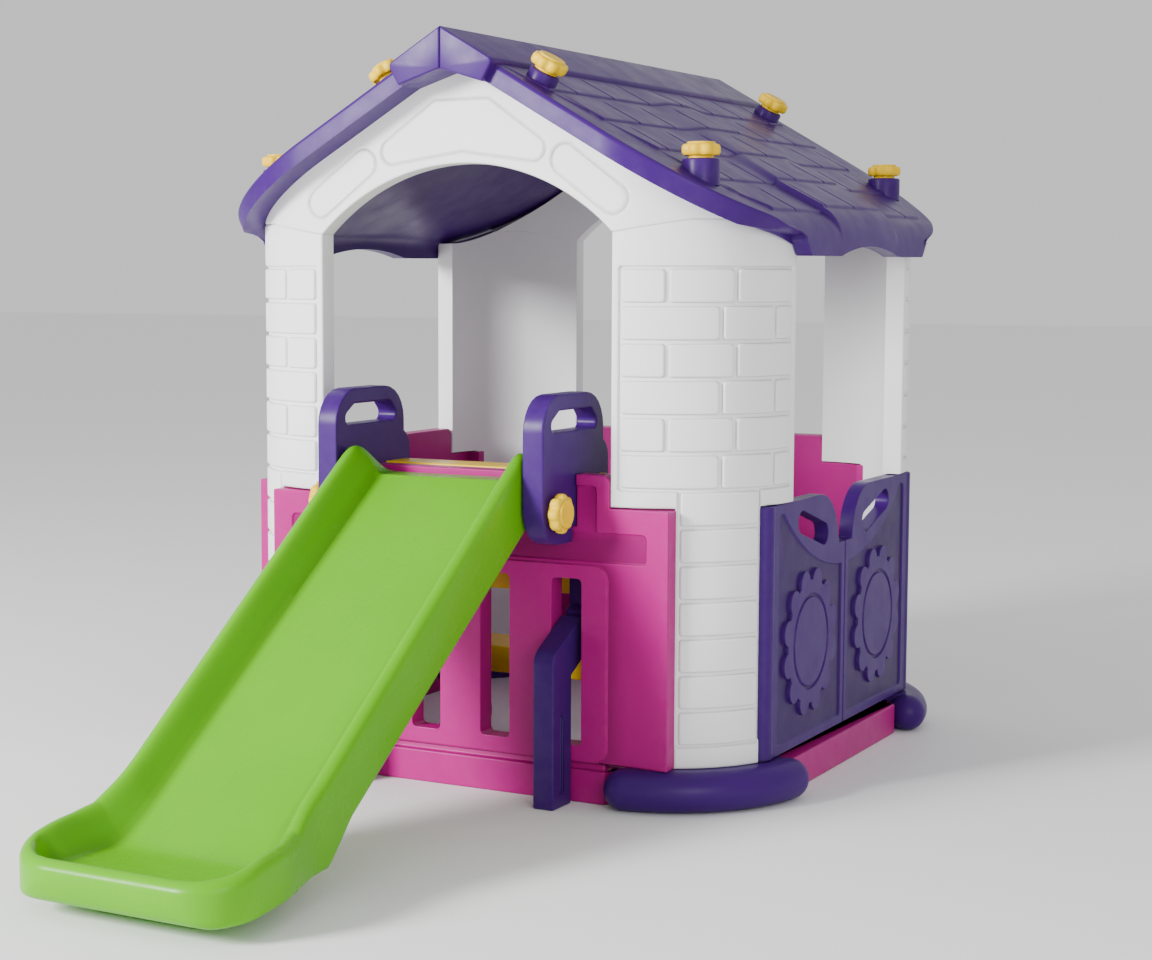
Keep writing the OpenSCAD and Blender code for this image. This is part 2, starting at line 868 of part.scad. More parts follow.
// side of the slide, in Y and Z, from its underside to its rim
module slide_side_area() {
  crest_y = slope_top_y - 28;
  slab = 62;
  lip_z = 84;
  low_z = 24;                           // underside of the run-out, which stands on a pad
  low_y = fold_y + 94;
  polygon([
    [slide_end_y, slide_top_z - 17], [slide_end_y, slide_top_z + 5],
    [crest_y + 44, bed_z(crest_y) + slide_rim - 14],
    [crest_y + 22, bed_z(crest_y) + slide_rim - 2],
    [crest_y, bed_z(crest_y) + slide_rim],
    [fold_y + 85, bed_z(fold_y + 85) + slide_rim - 18],
    [fold_y + 5, lip_z + 34], [fold_y - 35, lip_z + 26], [fold_y - 85, lip_z + 21],
    [fold_y - 140, lip_z + 8], [slide_front_y + 8, lip_z],
    [slide_front_y, lip_z - 10], [slide_front_y, low_z + 20], [slide_front_y + 20, low_z],
    [low_y, low_z + 19], [low_y + 56, bed_z(low_y + 56) - slab]
  ]);
}

// everything above the bed, in Y and Z
module above_bed_area(front) {
  polygon([
    [slide_end_y + 10, slide_top_z], [slope_top_y, slide_top_z], [fold_y, run_floor_z],
    [front, run_floor_z], [front, 700], [slide_end_y + 10, 700]
  ]);
}

// plan of the run-out, shrunk by s
module run_out_plan(s) {
  r = 85 - s;
  w = run_half - s;
  y0 = slide_front_y + s;
  for (k = [-1, 1]) translate([k * (w - r), y0 + r]) circle(r);
  area(-(w - r), w - r, y0, y0 + r);
  area(-w, w, y0 + r, fold_y - 60);
  polygon([
    [-w, fold_y - 60], [w, fold_y - 60],
    [slide_half - s, fold_y + 70], [s - slide_half, fold_y + 70]
  ]);
}

module slide() {
  inner = slide_half - slide_wall;
  placed(green)
    difference() {
      union() {
        intersection() {
          through_x(-slide_half, slide_half) slide_side_area();
          box(-slide_half, slide_half, fold_y + 40, slide_end_y, 0, 700);
        }
        intersection() {
          through_x(-run_half, run_half) slide_side_area();
          linear_extrude(300) run_out_plan(0);
        }
        // pad that stands on the ground, set back under the run-out
        box(-90, 90, slide_front_y + 80, fold_y + 40, 0, run_floor_z - 10);
        // bosses that meet the ladder sides
        for (s = [-1, 1])
          translate([s * (slide_half - 10), slide_stud[0], slide_stud[1]])
            rotate([0, s * 90, 0]) cylinder(r = 17, h = frame_in - gap - slide_half + 10);
      }
      through_x(-inner, inner) above_bed_area(fold_y - 60);
      intersection() {
        through_x(-run_half, run_half) above_bed_area(slide_front_y + slide_wall);
        linear_extrude(700) run_out_plan(slide_wall);
      }
      for (s = [-1, 1])
        translate([s * (frame_in - 26), slide_stud[0], slide_stud[1]])
          rotate([0, s * 90, 0]) cylinder(r = stud_r + run_gap, h = 30);
    }
}

// ---------- output ----------

base_front_rail();
base_back_rail();
base_left_rail();
base_door_sill();
corner_foot_front_right();
corner_foot_front_left();
corner_foot_back_right();
corner_foot_back_left();
post_front_right();
post_front_left();
post_back_right();
post_back_left();
wall_front();
wall_back();
wall_left();
door_leaf_front();
door_leaf_back();
hinge_pins();
gable_front();
gable_back();
roof_right();
roof_left();
ladder_frame_right();
ladder_frame_left();
tread_top();
tread_middle();
tread_low();
slide();
roof_knob_upper_front_right();
roof_knob_upper_front_left();
roof_knob_upper_back_right();
roof_knob_upper_back_left();
roof_knob_lower_front_right();
roof_knob_lower_front_left();
roof_knob_lower_back_right();
roof_knob_lower_back_left();
slide_knob_right();
slide_knob_left();
tread_knob_right();
tread_knob_left();
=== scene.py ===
# Looks of the plastic playhouse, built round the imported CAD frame.
# Lengths in this script are in millimetres until a mesh is made; the frame is in metres.
import json
import math

import bmesh
import bpy
import numpy as np
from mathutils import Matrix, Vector


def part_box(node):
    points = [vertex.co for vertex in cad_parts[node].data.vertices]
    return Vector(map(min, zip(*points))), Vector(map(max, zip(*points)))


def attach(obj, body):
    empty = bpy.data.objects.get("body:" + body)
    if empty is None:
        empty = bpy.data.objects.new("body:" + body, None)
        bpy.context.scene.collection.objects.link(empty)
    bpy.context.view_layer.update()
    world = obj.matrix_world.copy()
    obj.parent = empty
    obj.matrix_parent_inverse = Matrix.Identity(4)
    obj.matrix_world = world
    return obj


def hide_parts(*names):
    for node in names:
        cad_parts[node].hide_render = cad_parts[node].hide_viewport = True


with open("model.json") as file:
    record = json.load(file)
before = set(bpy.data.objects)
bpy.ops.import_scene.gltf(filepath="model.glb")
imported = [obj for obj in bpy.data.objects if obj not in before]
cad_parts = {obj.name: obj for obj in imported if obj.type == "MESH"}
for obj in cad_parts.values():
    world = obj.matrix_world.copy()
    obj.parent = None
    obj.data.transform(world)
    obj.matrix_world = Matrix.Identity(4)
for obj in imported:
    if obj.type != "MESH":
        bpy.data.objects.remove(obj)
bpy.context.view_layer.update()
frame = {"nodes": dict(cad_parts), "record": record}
MM = 0.001
GAP = 0.3                                 # room between pieces that meet
WELD = 0.02                               # points nearer than this become one


def raw_box(node):
    """Lowest and highest corner of a CAD node in millimetres, in the frame."""
    low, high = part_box(node)
    return np.array(low) / MM, np.array(high) / MM


# the middle of the house, which every shape below is drawn about
HOUSE_Y = (raw_box("post_front_right")[0][1] + raw_box("post_back_right")[1][1]) / 2
SHIFT = np.array([0, HOUSE_Y, 0])


def cad(node):
    """Lowest and highest corner of a CAD node in millimetres, about the middle of the house."""
    low, high = raw_box(node)
    return low - SHIFT, high - SHIFT


# ---------------------------------------------------------------- sizes read from the frame
post_low, post_high = cad("post_back_right")
HALF = post_high[0]
POST_R = post_high[0] - post_low[0]
CENTRE = HALF - POST_R
SEAT_Z = post_low[2]
EDGE = cad("wall_front")[1][0]            # end of the front wall, where the post's neck starts
WALL_T = 35
SIDE_EDGE = cad("wall_left")[1][1]
SHOULDER_Z = 487                          # height of the walls beside the posts
EAR_Z = SHOULDER_Z + 2
SEAM_Z = cad("gable_front")[0][2]
roof_low, roof_high = cad("roof_right")
EAVE_X = roof_high[0]
VERGE_Y = roof_high[1] - 16
BAND_RISE = 9
RIDGE_Z = roof_high[2]
FALL = 0.58
FIELD_Z = RIDGE_Z - BAND_RISE
ROOF_T = 37
UNDER_Z = FIELD_Z - ROOF_T
EAVE_Z = roof_low[2]
RIDGE_FLAT = 78
RIDGE_PEAK = 24
RIDGE_UNDER_Z = UNDER_Z - FALL * RIDGE_FLAT
SLOPE = math.atan(FALL)


# ---------------------------------------------------------------- small maths
def smooth(low, high, value):
    """0 below low, 1 above high, with a soft change between."""
    t = np.clip((np.asarray(value, float) - low) / (high - low), 0, 1)
    return t * t * (3 - 2 * t)


def box_distance(x, y, x0, x1, y0, y1, r):
    """Signed distance to a rectangle with corners of radius r, negative inside."""
    qx = np.abs(x - (x0 + x1) / 2) - (x1 - x0) / 2 + r
    qy = np.abs(y - (y0 + y1) / 2) - (y1 - y0) / 2 + r
    outside = np.hypot(np.maximum(qx, 0), np.maximum(qy, 0))
    return outside + np.minimum(np.maximum(qx, qy), 0) - r


def polygon_distance(x, y, points):
    """Signed distance to a polygon, negative inside."""
    points = np.array(points, float)
    best = np.full(np.shape(x), 1e9)
    inside = np.zeros(np.shape(x), bool)
    for a, b in zip(points, np.roll(points, -1, 0)):
        d = b - a
        t = np.clip(((x - a[0]) * d[0] + (y - a[1]) * d[1]) / (d @ d), 0, 1)
        best = np.minimum(best, np.hypot(x - a[0] - t * d[0], y - a[1] - t * d[1]))
        crosses = (a[1] > y) != (b[1] > y)
        with np.errstate(divide="ignore", invalid="ignore"):
            at = (b[0] - a[0]) * (y - a[1]) / (b[1] - a[1]) + a[0]
        inside ^= crosses & (x < at)
    return np.where(inside, -best, best)


def groove(distance, width, depth):
    """Depth of a round groove that lies just inside the line where distance is 0."""
    t = np.clip(np.abs(distance + width / 2) / (width / 2), 0, 1)
    return depth * np.sqrt(1 - t * t)


def edge_round(distance, r):
    """How far a surface drops for a round edge of radius r, distance in from the edge."""
    t = np.clip(r - distance, 0, r)
    return r - np.sqrt(np.maximum(r * r - t * t, 0))


NEAREST_LINES = 0.3


def lines(low, high, at, near, widest):
    """Sorted grid lines from low to high: near each value of at, and never further apart than widest."""
    marks = {round(low, 3), round(high, 3)}
    for value in at:
        for step in near:
            for mark in (value - step, value + step):
                if low < mark < high:
                    marks.add(round(mark, 3))
    marks = sorted(marks)
    kept = [marks[0]]
    for mark in marks[1:]:
        if mark - kept[-1] > NEAREST_LINES or mark == marks[-1]:
            kept.append(mark)
    out = [kept[0]]
    for a, b in zip(kept, kept[1:]):
        n = max(1, math.ceil((b - a) / widest))
        out += [a + (b - a) * k / n for k in range(1, n + 1)]
    return np.array(out)


def rounded(points, radii, n=8):
    """Polygon with each corner filleted; radii is one number or one for each corner."""
    points = [np.array(p, float) for p in points]
    if not hasattr(radii, "__len__"):
        radii = [radii] * len(points)
    out = []
    for i, p in enumerate(points):
        a = points[i - 1] - p
        b = points[(i + 1) % len(points)] - p
        la, lb = np.linalg.norm(a), np.linalg.norm(b)
        a, b = a / la, b / lb
        half_turn = math.acos(max(-1, min(1, float(a @ b)))) / 2
        r = radii[i]
        if r <= 0 or half_turn > 1.55:
            out.append(tuple(p))
            continue
        reach = min(r / math.tan(half_turn), la * 0.49, lb * 0.49)
        r = reach * math.tan(half_turn)
        middle = p + (a + b) / np.linalg.norm(a + b) * r / math.sin(half_turn)
        start = p + a * reach - middle
        end = p + b * reach - middle
        t0, t1 = math.atan2(start[1], start[0]), math.atan2(end[1], end[0])
        turn = (t1 - t0 + math.pi) % (2 * math.pi) - math.pi
        out += [
            (middle[0] + r * math.cos(t0 + turn * k / n), middle[1] + r * math.sin(t0 + turn * k / n))
            for k in range(n + 1)
        ]
    return out


def box_outline(x0, x1, y0, y1, r, n=8):
    return rounded([(x0, y0), (x1, y0), (x1, y1), (x0, y1)], r, n)


# ---------------------------------------------------------------- mesh tools
class Shape:
    """Points and faces gathered for one piece."""

    def __init__(self):
        self.points = []
        self.faces = []
        self.count = 0

    def add(self, points, faces):
        points = np.asarray(points, float).reshape(-1, 3)
        self.points.append(points)
        self.faces += [tuple(i + self.count for i in f) for f in faces]
        self.count += len(points)

    def tube(self, p):
        """A surface through closed rows of points, with a face over its first and last row."""
        rows, cols = p.shape[:2]
        index = np.arange(rows * cols).reshape(rows, cols)
        faces = []
        for i in range(rows - 1):
            for j in range(cols):
                k = (j + 1) % cols
                faces.append((index[i, j], index[i, k], index[i + 1, k], index[i + 1, j]))
        start = self.count
        self.add(p.reshape(-1, 3), faces)
        self.faces.append(tuple(reversed(range(start, start + cols))))
        self.faces.append(tuple(range(self.count - cols, self.count)))

    def sheet(self, outer, inner, mask=None):
        """A closed piece between two grids of points.  mask says which cells are there."""
        rows, cols = outer.shape[:2]
        index = np.arange(rows * cols).reshape(rows, cols)
        if mask is None:
            mask = np.ones((rows - 1, cols - 1), bool)
        shift = rows * cols
        faces = []
        edges = {}
        for i in range(rows - 1):
            for j in range(cols - 1):
                if not mask[i, j]:
                    continue
                q = (index[i, j], index[i, j + 1], index[i + 1, j + 1], index[i + 1, j])
                faces.append(q)
                faces.append(tuple(v + shift for v in q[::-1]))
                for a, b in zip(q, q[1:] + q[:1]):
                    if (b, a) in edges:
                        del edges[(b, a)]
                    else:
                        edges[(a, b)] = True
        for a, b in edges:
            faces.append((b, a, a + shift, b + shift))
        self.add(np.concatenate([outer.reshape(-1, 3), inner.reshape(-1, 3)]), faces)

    def plate(self, outlines, z0, z1, bevel, to_world):
        """A flat plate with round edges from outlines (the first outside, the others holes)."""
        curve = bpy.data.curves.new("outline", "CURVE")
        curve.dimensions = "2D"
        curve.fill_mode = "BOTH"
        curve.extrude = (z1 - z0) / 2 - bevel
        curve.bevel_depth = bevel
        curve.bevel_resolution = 2
        curve.offset = -bevel
        for outline in outlines:
            line = curve.splines.new("POLY")
            line.points.add(len(outline) - 1)
            for point, (x, y) in zip(line.points, outline):
                point.co = (x, y, 0, 1)
            line.use_cyclic_u = True
        holder = bpy.data.objects.new("outline", curve)
        bpy.context.scene.collection.objects.link(holder)
        bpy.context.view_layer.update()
        ready = holder.evaluated_get(bpy.context.evaluated_depsgraph_get())
        mesh = bpy.data.meshes.new_from_object(ready)
        points = np.array([v.co for v in mesh.vertices], float)
        points[:, 2] += (z0 + z1) / 2
        faces = [tuple(f.vertices) for f in mesh.polygons]
        bpy.data.objects.remove(holder)
        bpy.data.curves.remove(curve)
        bpy.data.meshes.remove(mesh)
        self.add(to_world(points), faces)

    def lathe(self, profile, to_world, turns):
        """A turned piece; profile is a list of (radius, height)."""
        angles = np.linspace(0, 2 * math.pi, turns, endpoint=False)
        p = np.array([[(r * math.cos(a), r * math.sin(a), z) for a in angles] for r, z in profile])
        self.tube(to_world(p.reshape(-1, 3)).reshape(p.shape))

    def turned(self, matrix):
        """Every point so far, moved by a 3 by 3 matrix; faces flip with a mirror."""
        for k, p in enumerate(self.points):
            self.points[k] = p @ np.array(matrix, float).T
        if np.linalg.det(np.array(matrix, float)) < 0:
            self.faces = [f[::-1] for f in self.faces]
        return self

    def build(self, name, slot, body, replaced, sharp=35):
        """Makes the Blender object, in metres, and ties it to the frame."""
        mesh = bpy.data.meshes.new(name)
        mesh.from_pydata(((np.concatenate(self.points) + SHIFT) * MM).tolist(), [], self.faces)
        work = bmesh.new()
        work.from_mesh(mesh)
        bmesh.ops.remove_doubles(work, verts=work.verts, dist=WELD * MM)
        bmesh.ops.recalc_face_normals(work, faces=work.faces)
        work.to_mesh(mesh)
        work.free()
        mesh.shade_smooth()
        mesh.set_sharp_from_angle(angle=math.radians(sharp))
        mesh.materials.append(materials[slot])
        piece = bpy.data.objects.new(name, mesh)
        bpy.context.scene.collection.objects.link(piece)
        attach(piece, body)
        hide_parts(*replaced)
        return piece


def leaning(tilt):
    """Matrix that leans an upright piece towards +X by an angle."""
    c, s = math.cos(tilt), math.sin(tilt)
    return np.array([[c, 0, s], [0, 1, 0], [-s, 0, c]])


MIRROR_X = np.diag([-1, 1, 1])
MIRROR_Y = np.diag([1, -1, 1])
HALF_TURN = np.diag([-1, -1, 1])
CORNERS = (("back_right", np.eye(3)), ("front_right", MIRROR_Y),
           ("back_left", MIRROR_X), ("front_left", HALF_TURN))


# ---------------------------------------------------------------- materials
# sizes of the noise patterns, in repeats for each metre
CLOUD_SCALE = 3.5
WORN_SCALE = 40
SHEEN_SCALE = 18
GRAIN_SCALE = 620
WAVE_SCALE = 6
# how sharp a place must be to look worn, how hollow it must be to get painted shade, and how strongly each
# does
WORN_FROM, WORN_TO, WORN_SHARE = 0.52, 0.6, 0.14
SHADE_FROM, SHADE_TO, SHADE_SHARE = 0.44, 0.495, 0.75


def plastic(name, colour, rough, deep):
    """Moulded plastic: fine grain, faint cloudy colour, paler worn edges and painted shade darkening the
    hollows.
    """
    m = bpy.data.materials.new(name)
    m.use_nodes = True
    t = m.node_tree
    shader = t.nodes["Principled BSDF"]
    place = t.nodes.new("ShaderNodeTexCoord")

    def noise(scale, detail, roughness=0.5):
        n = t.nodes.new("ShaderNodeTexNoise")
        n.inputs["Scale"].default_value = scale
        n.inputs["Detail"].default_value = detail
        n.inputs["Roughness"].default_value = roughness
        t.links.new(place.outputs["Object"], n.inputs["Vector"])
        return n.outputs["Fac"]

    def span(value, a, b, low, high):
        n = t.nodes.new("ShaderNodeMapRange")
        n.inputs["From Min"].default_value = a
        n.inputs["From Max"].default_value = b
        n.inputs["To Min"].default_value = low
        n.inputs["To Max"].default_value = high
        t.links.new(value, n.inputs["Value"])
        return n.outputs["Result"]

    def mix(amount, a, b):
        n = t.nodes.new("ShaderNodeMix")
        n.data_type = "RGBA"
        t.links.new(amount, n.inputs["Factor"])
        for socket, value in ((n.inputs[6], a), (n.inputs[7], b)):
            if isinstance(value, tuple):
                socket.default_value = (*value, 1)
            else:
                t.links.new(value, socket)
        return n.outputs[2]

    paler = tuple(min(1, c * 0.9 + 0.1) for c in colour)
    cloudy = mix(span(noise(CLOUD_SCALE, 3), 0.35, 0.65, 0, 1), colour, deep)
    geometry = t.nodes.new("ShaderNodeNewGeometry")
    worn = t.nodes.new("ShaderNodeMath")
    worn.operation = "MULTIPLY"
    t.links.new(span(geometry.outputs["Pointiness"], WORN_FROM, WORN_TO, 0, WORN_SHARE), worn.inputs[0])
    t.links.new(span(noise(WORN_SCALE, 4, 0.7), 0.4, 0.6, 0, 1), worn.inputs[1])
    # painted shade: hollow places are darkened towards a dim copy of the colour, standing in for the shade
    # that falls in grooves and creases
    painted_shade = span(geometry.outputs["Pointiness"], SHADE_FROM, SHADE_TO, SHADE_SHARE, 0)
    shade_colour = tuple(c * 0.35 for c in colour)
    shaded = mix(painted_shade, mix(worn.outputs["Value"], cloudy, paler), shade_colour)
    t.links.new(shaded, shader.inputs["Base Color"])
    sheen = span(noise(SHEEN_SCALE, 5, 0.6), 0.3, 0.7, rough - 0.05, rough + 0.07)
    t.links.new(sheen, shader.inputs["Roughness"])
    shader.inputs["IOR"].default_value = 1.46
    shader.inputs["Specular IOR Level"].default_value = 0.2
    grain = t.nodes.new("ShaderNodeBump")
    grain.inputs["Strength"].default_value = 0.12
    grain.inputs["Distance"].default_value = 0.0004
    t.links.new(noise(GRAIN_SCALE, 2), grain.inputs["Height"])
    waves = t.nodes.new("ShaderNodeBump")
    waves.inputs["Strength"].default_value = 0.25
    waves.inputs["Distance"].default_value = 0.002
    t.links.new(noise(WAVE_SCALE, 2), waves.inputs["Height"])
    t.links.new(waves.outputs["Normal"], grain.inputs["Normal"])
    t.links.new(grain.outputs["Normal"], shader.inputs["Normal"])
    return m


materials = {
    "purple": plastic("purple_plastic", (0.046, 0.006, 0.140), 0.34, (0.040, 0.005, 0.124)),
    "pink": plastic("pink_plastic", (0.420, 0.002, 0.190), 0.34, (0.375, 0.002, 0.170)),
    "white": plastic("white_plastic", (0.880, 0.880, 0.880), 0.44, (0.845, 0.845, 0.850)),
    "green": plastic("green_plastic", (0.110, 0.400, 0.001), 0.28, (0.098, 0.370, 0.001)),
    "yellow": plastic("yellow_plastic", (0.900, 0.580, 0.001), 0.32, (0.850, 0.530, 0.001)),
    "grey": plastic("grey_plastic", (0.260, 0.260, 0.280), 0.45, (0.230, 0.230, 0.250)),
}
slot_of = {entry["node"]: entry["material_slot"] for entry in frame["record"]["subparts"]}
for node_name, node in frame["nodes"].items():
    node.data.materials.clear()
    node.data.materials.append(materials[slot_of[node_name]])


SHARP = math.radians(32)
FLAT = math.radians(1)


def softened(node, width, body):
    """A copy of the CAD node's mesh with its sharp edges rounded by width."""
    source = frame["nodes"][node]
    mesh = source.data.copy()
    work = bmesh.new()
    work.from_mesh(mesh)
    bmesh.ops.remove_doubles(work, verts=work.verts, dist=WELD * MM)
    bmesh.ops.dissolve_limit(work, angle_limit=FLAT, verts=work.verts, edges=work.edges)
    sharp = [
        e for e in work.edges
        if len(e.link_faces) == 2 and e.calc_face_angle(0) > SHARP
    ]
    bmesh.ops.bevel(
        work, geom=sharp, offset=width * MM, offset_type="OFFSET", segments=2,
        profile=0.5, affect="EDGES", clamp_overlap=False, loop_slide=True,
    )
    work.to_mesh(mesh)
    work.free()
    mesh.shade_smooth()
    mesh.set_sharp_from_angle(angle=SHARP)
    mesh.materials.clear()
    mesh.materials.append(materials[slot_of[node]])
    piece = bpy.data.objects.new("soft_" + node, mesh)
    bpy.context.scene.collection.objects.link(piece)
    even = piece.modifiers.new("even_shading", "WEIGHTED_NORMAL")
    even.keep_sharp = True
    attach(piece, body)
    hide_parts(node)
    return piece


# ---------------------------------------------------------------- corner posts
BRICK_TOP = SEAM_Z - 55
BRICK_PITCH = 59.2
WIDE_ROWS = 6
NARROW_ROWS = 7
MORTAR = 6.5
MORTAR_DEEP = 5
BRICK_R = 6
BRICK_SOFT = 3
FIELD_R = 9                               # corner radius of the sunk field round the bricks
POST_EDGE_R = 4
GRID_WIDEST = 9
SEAM_RISE = 20                            # the seam climbs this much over this run
SEAM_RUN = 126
WIDE_SPAN = (3.5, 86.5)
NARROW_SPAN = (24.5, 61.5)
ODD_JOINTS = (37.7, 66.8)
EVEN_JOINTS = (16.4, 44.1)


def along(angle):
    """Length along the post's curve up to an angle in degrees, from the side wall."""
    return POST_R * math.radians(angle)


def bricks():
    """Rectangle of every brick: from, to along the curve, and bottom and top heights."""
    out = []
    for row in range(WIDE_ROWS):
        top = BRICK_TOP - row * BRICK_PITCH
        joints = ODD_JOINTS if row % 2 == 0 else EVEN_JOINTS
        marks = [WIDE_SPAN[0], *joints, WIDE_SPAN[1]]
        for a, b in zip(marks, marks[1:]):
            out.append((along(a) + MORTAR / 2, along(b) - MORTAR / 2, top - BRICK_PITCH + MORTAR / 2,
                        top - MORTAR / 2))
    low = BRICK_TOP - WIDE_ROWS * BRICK_PITCH
    for row in range(NARROW_ROWS):
        top = low - row * BRICK_PITCH
        out.append((along(NARROW_SPAN[0]) + MORTAR / 2, along(NARROW_SPAN[1]) - MORTAR / 2,
                    top - BRICK_PITCH + MORTAR / 2, top - MORTAR / 2))
    return out


def seam_height(x):
    """Height of the seam between posts and gables."""
    return SEAM_Z + SEAM_RISE * np.clip((np.abs(x) - CENTRE) / SEAM_RUN, 0, 1)


def under_roof(x):
    """Height just below the sloping underside of the roof."""
    return UNDER_Z - FALL * np.abs(x) - GAP


def under_ridge(x):
    """Height of the shallow peak under the ridge."""
    return RIDGE_UNDER_Z + RIDGE_PEAK * (1 - np.abs(x) / RIDGE_FLAT)


def post_surface():
    """Outer and inner grids of a post, and which cells are there."""
    full = along(90)
    neck_ends = (math.acos((EDGE - CENTRE) / POST_R), math.asin((SIDE_EDGE - CENTRE) / POST_R))
    neck_from, neck_to = POST_R * min(neck_ends), POST_R * max(neck_ends)
    rects = bricks()
    near = (0, 0.7, 1.5, 2.5, 3.6, 6)
    s = lines(0, full, [r[0] for r in rects] + [r[1] for r in rects] + [0, full, neck_from, neck_to],
              near, GRID_WIDEST)
    z = lines(SEAT_Z, SEAM_Z, [r[2] for r in rects] + [r[3] for r in rects] + [SEAT_Z, SEAM_Z, EAR_Z],
              near, GRID_WIDEST)
    s = np.unique(np.append(s, [neck_from, neck_to]))
    z = np.unique(np.append(z, [EAR_Z]))
    S, Z = np.meshgrid(s, z)
    tee = [(0, EAR_Z), (neck_from, EAR_Z), (neck_from, SEAT_Z), (neck_to, SEAT_Z), (neck_to, EAR_Z),
           (full, EAR_Z), (full, SEAM_Z), (0, SEAM_Z)]
    edge = -polygon_distance(S, Z, tee)
    brick = np.min([box_distance(S, Z, *r, BRICK_R) for r in rects], axis=0)
    low = BRICK_TOP - WIDE_ROWS * BRICK_PITCH
    out = MORTAR / 2
    field = np.minimum(
        box_distance(S, Z, along(WIDE_SPAN[0]) - out, along(WIDE_SPAN[1]) + out, low - out,
                     BRICK_TOP + out, FIELD_R),
        box_distance(S, Z, along(NARROW_SPAN[0]) - out, along(NARROW_SPAN[1]) + out,
                     low - NARROW_ROWS * BRICK_PITCH - out, low + 20, FIELD_R))
    into_joint = np.clip((brick + BRICK_SOFT) / BRICK_SOFT, 0, 1)
    pillow = MORTAR_DEEP * np.clip(1 - np.sqrt(np.clip(1 - into_joint ** 2, 0, 1)), 0, 1)
    drop = np.where(field < 0, np.minimum(pillow, MORTAR_DEEP * smooth(0, -2, field)), 0)
    drop = drop + edge_round(np.maximum(edge, 0), POST_EDGE_R)
    angle = S / POST_R
    x = CENTRE + POST_R * np.cos(angle)
    top = np.minimum(seam_height(x), under_roof(x))
    lifted = Z + (top - SEAM_Z) * np.clip((Z - BRICK_TOP - 10) / (SEAM_Z - BRICK_TOP - 10), 0, 1)
    mid_s = (s[:-1] + s[1:]) / 2
    mid_z = (z[:-1] + z[1:]) / 2
    mask = (mid_z[:, None] > EAR_Z) | ((mid_s > neck_from) & (mid_s < neck_to))[None, :]

    def wall(radius):
        return np.stack([CENTRE + radius * np.cos(angle), CENTRE + radius * np.sin(angle), lifted], -1)

    return wall(POST_R - drop), wall(np.full(S.shape, POST_R - WALL_T)), mask


def build_posts():
    outer, inner, mask = post_surface()
    for corner, matrix in CORNERS:
        shape = Shape()
        shape.sheet(outer, inner, mask)
        name = "post_" + corner
        shape.turned(matrix).build("brick_" + name, "white", "house", [name], sharp=50)


# ---------------------------------------------------------------- gables
ARCH_RISE = 114
ARCH_R = (CENTRE ** 2 + ARCH_RISE ** 2) / (2 * ARCH_RISE)
EMBLEM = [(-133, 1064), (0, 1083), (133, 1064), (45, 1126), (-45, 1126)]
EMBLEM_GROW = 24
PILL = [(276, 982), (191, 1045)]
PILL_GROW = 28
GROOVE_W = 6
GROOVE_DEEP = 4
GABLE_END_X = 450
ARCH_EDGE_R = 4


def gable_shape():
    """Front gable: an arched sheet that bends round both corners, with grooves for its emblem."""
    flat = np.arange(0, CENTRE, 1.7)
    turn = np.linspace(0, math.asin((GABLE_END_X - CENTRE) / POST_R), 60)
    x = np.concatenate([flat, CENTRE + POST_R * np.sin(turn)])
    y_out = np.concatenate([np.full(len(flat), HALF), CENTRE + POST_R * np.cos(turn)])
    inner_r = POST_R - WALL_T
    x_in = np.concatenate([flat, CENTRE + inner_r * np.sin(turn)])
    y_in = np.concatenate([np.full(len(flat), HALF - WALL_T), CENTRE + inner_r * np.cos(turn)])
    x = np.concatenate([-x[:0:-1], x])
    x_in = np.concatenate([-x_in[:0:-1], x_in])
    y_out = np.concatenate([y_out[:0:-1], y_out])
    y_in = np.concatenate([y_in[:0:-1], y_in])
    arch = SEAM_Z + ARCH_RISE - ARCH_R + np.sqrt(np.maximum(ARCH_R ** 2 - x ** 2, 0))
    bottom = np.where(np.abs(x) < CENTRE, arch, seam_height(x)) + GAP
    top = np.maximum(np.minimum(under_roof(x), under_ridge(x) - GAP), bottom + 1)
    t = np.unique(np.concatenate([np.linspace(0, 1, 95), [0.004, 0.012, 0.022, 0.034]]))[:, None]
    Z = bottom + (top - bottom) * t
    X = np.broadcast_to(x, Z.shape)
    emblem = polygon_distance(X, Z, EMBLEM) - EMBLEM_GROW
    a, b = np.array(PILL[0], float), np.array(PILL[1], float)
    d = b - a
    along_pill = np.clip(((np.abs(X) - a[0]) * d[0] + (Z - a[1]) * d[1]) / (d @ d), 0, 1)
    pill = np.hypot(np.abs(X) - a[0] - along_pill * d[0], Z - a[1] - along_pill * d[1]) - PILL_GROW
    shape = np.minimum(emblem, pill)
    drop = groove(shape, GROOVE_W, GROOVE_DEEP) + edge_round(np.maximum(Z - bottom, 0), ARCH_EDGE_R)
    scale = (y_out - drop) / y_out
    outer = np.stack([X, -y_out * scale, Z], -1)
    inner = np.stack([np.broadcast_to(x_in, Z.shape), np.broadcast_to(-y_in, Z.shape), Z], -1)
    piece = Shape()
    piece.sheet(outer, inner)
    return piece


def build_gables():
    gable_shape().build("arched_gable_front", "white", "house", ["gable_front"], sharp=50)
    gable_shape().turned(MIRROR_Y).build("arched_gable_back", "white", "house", ["gable_back"], sharp=50)


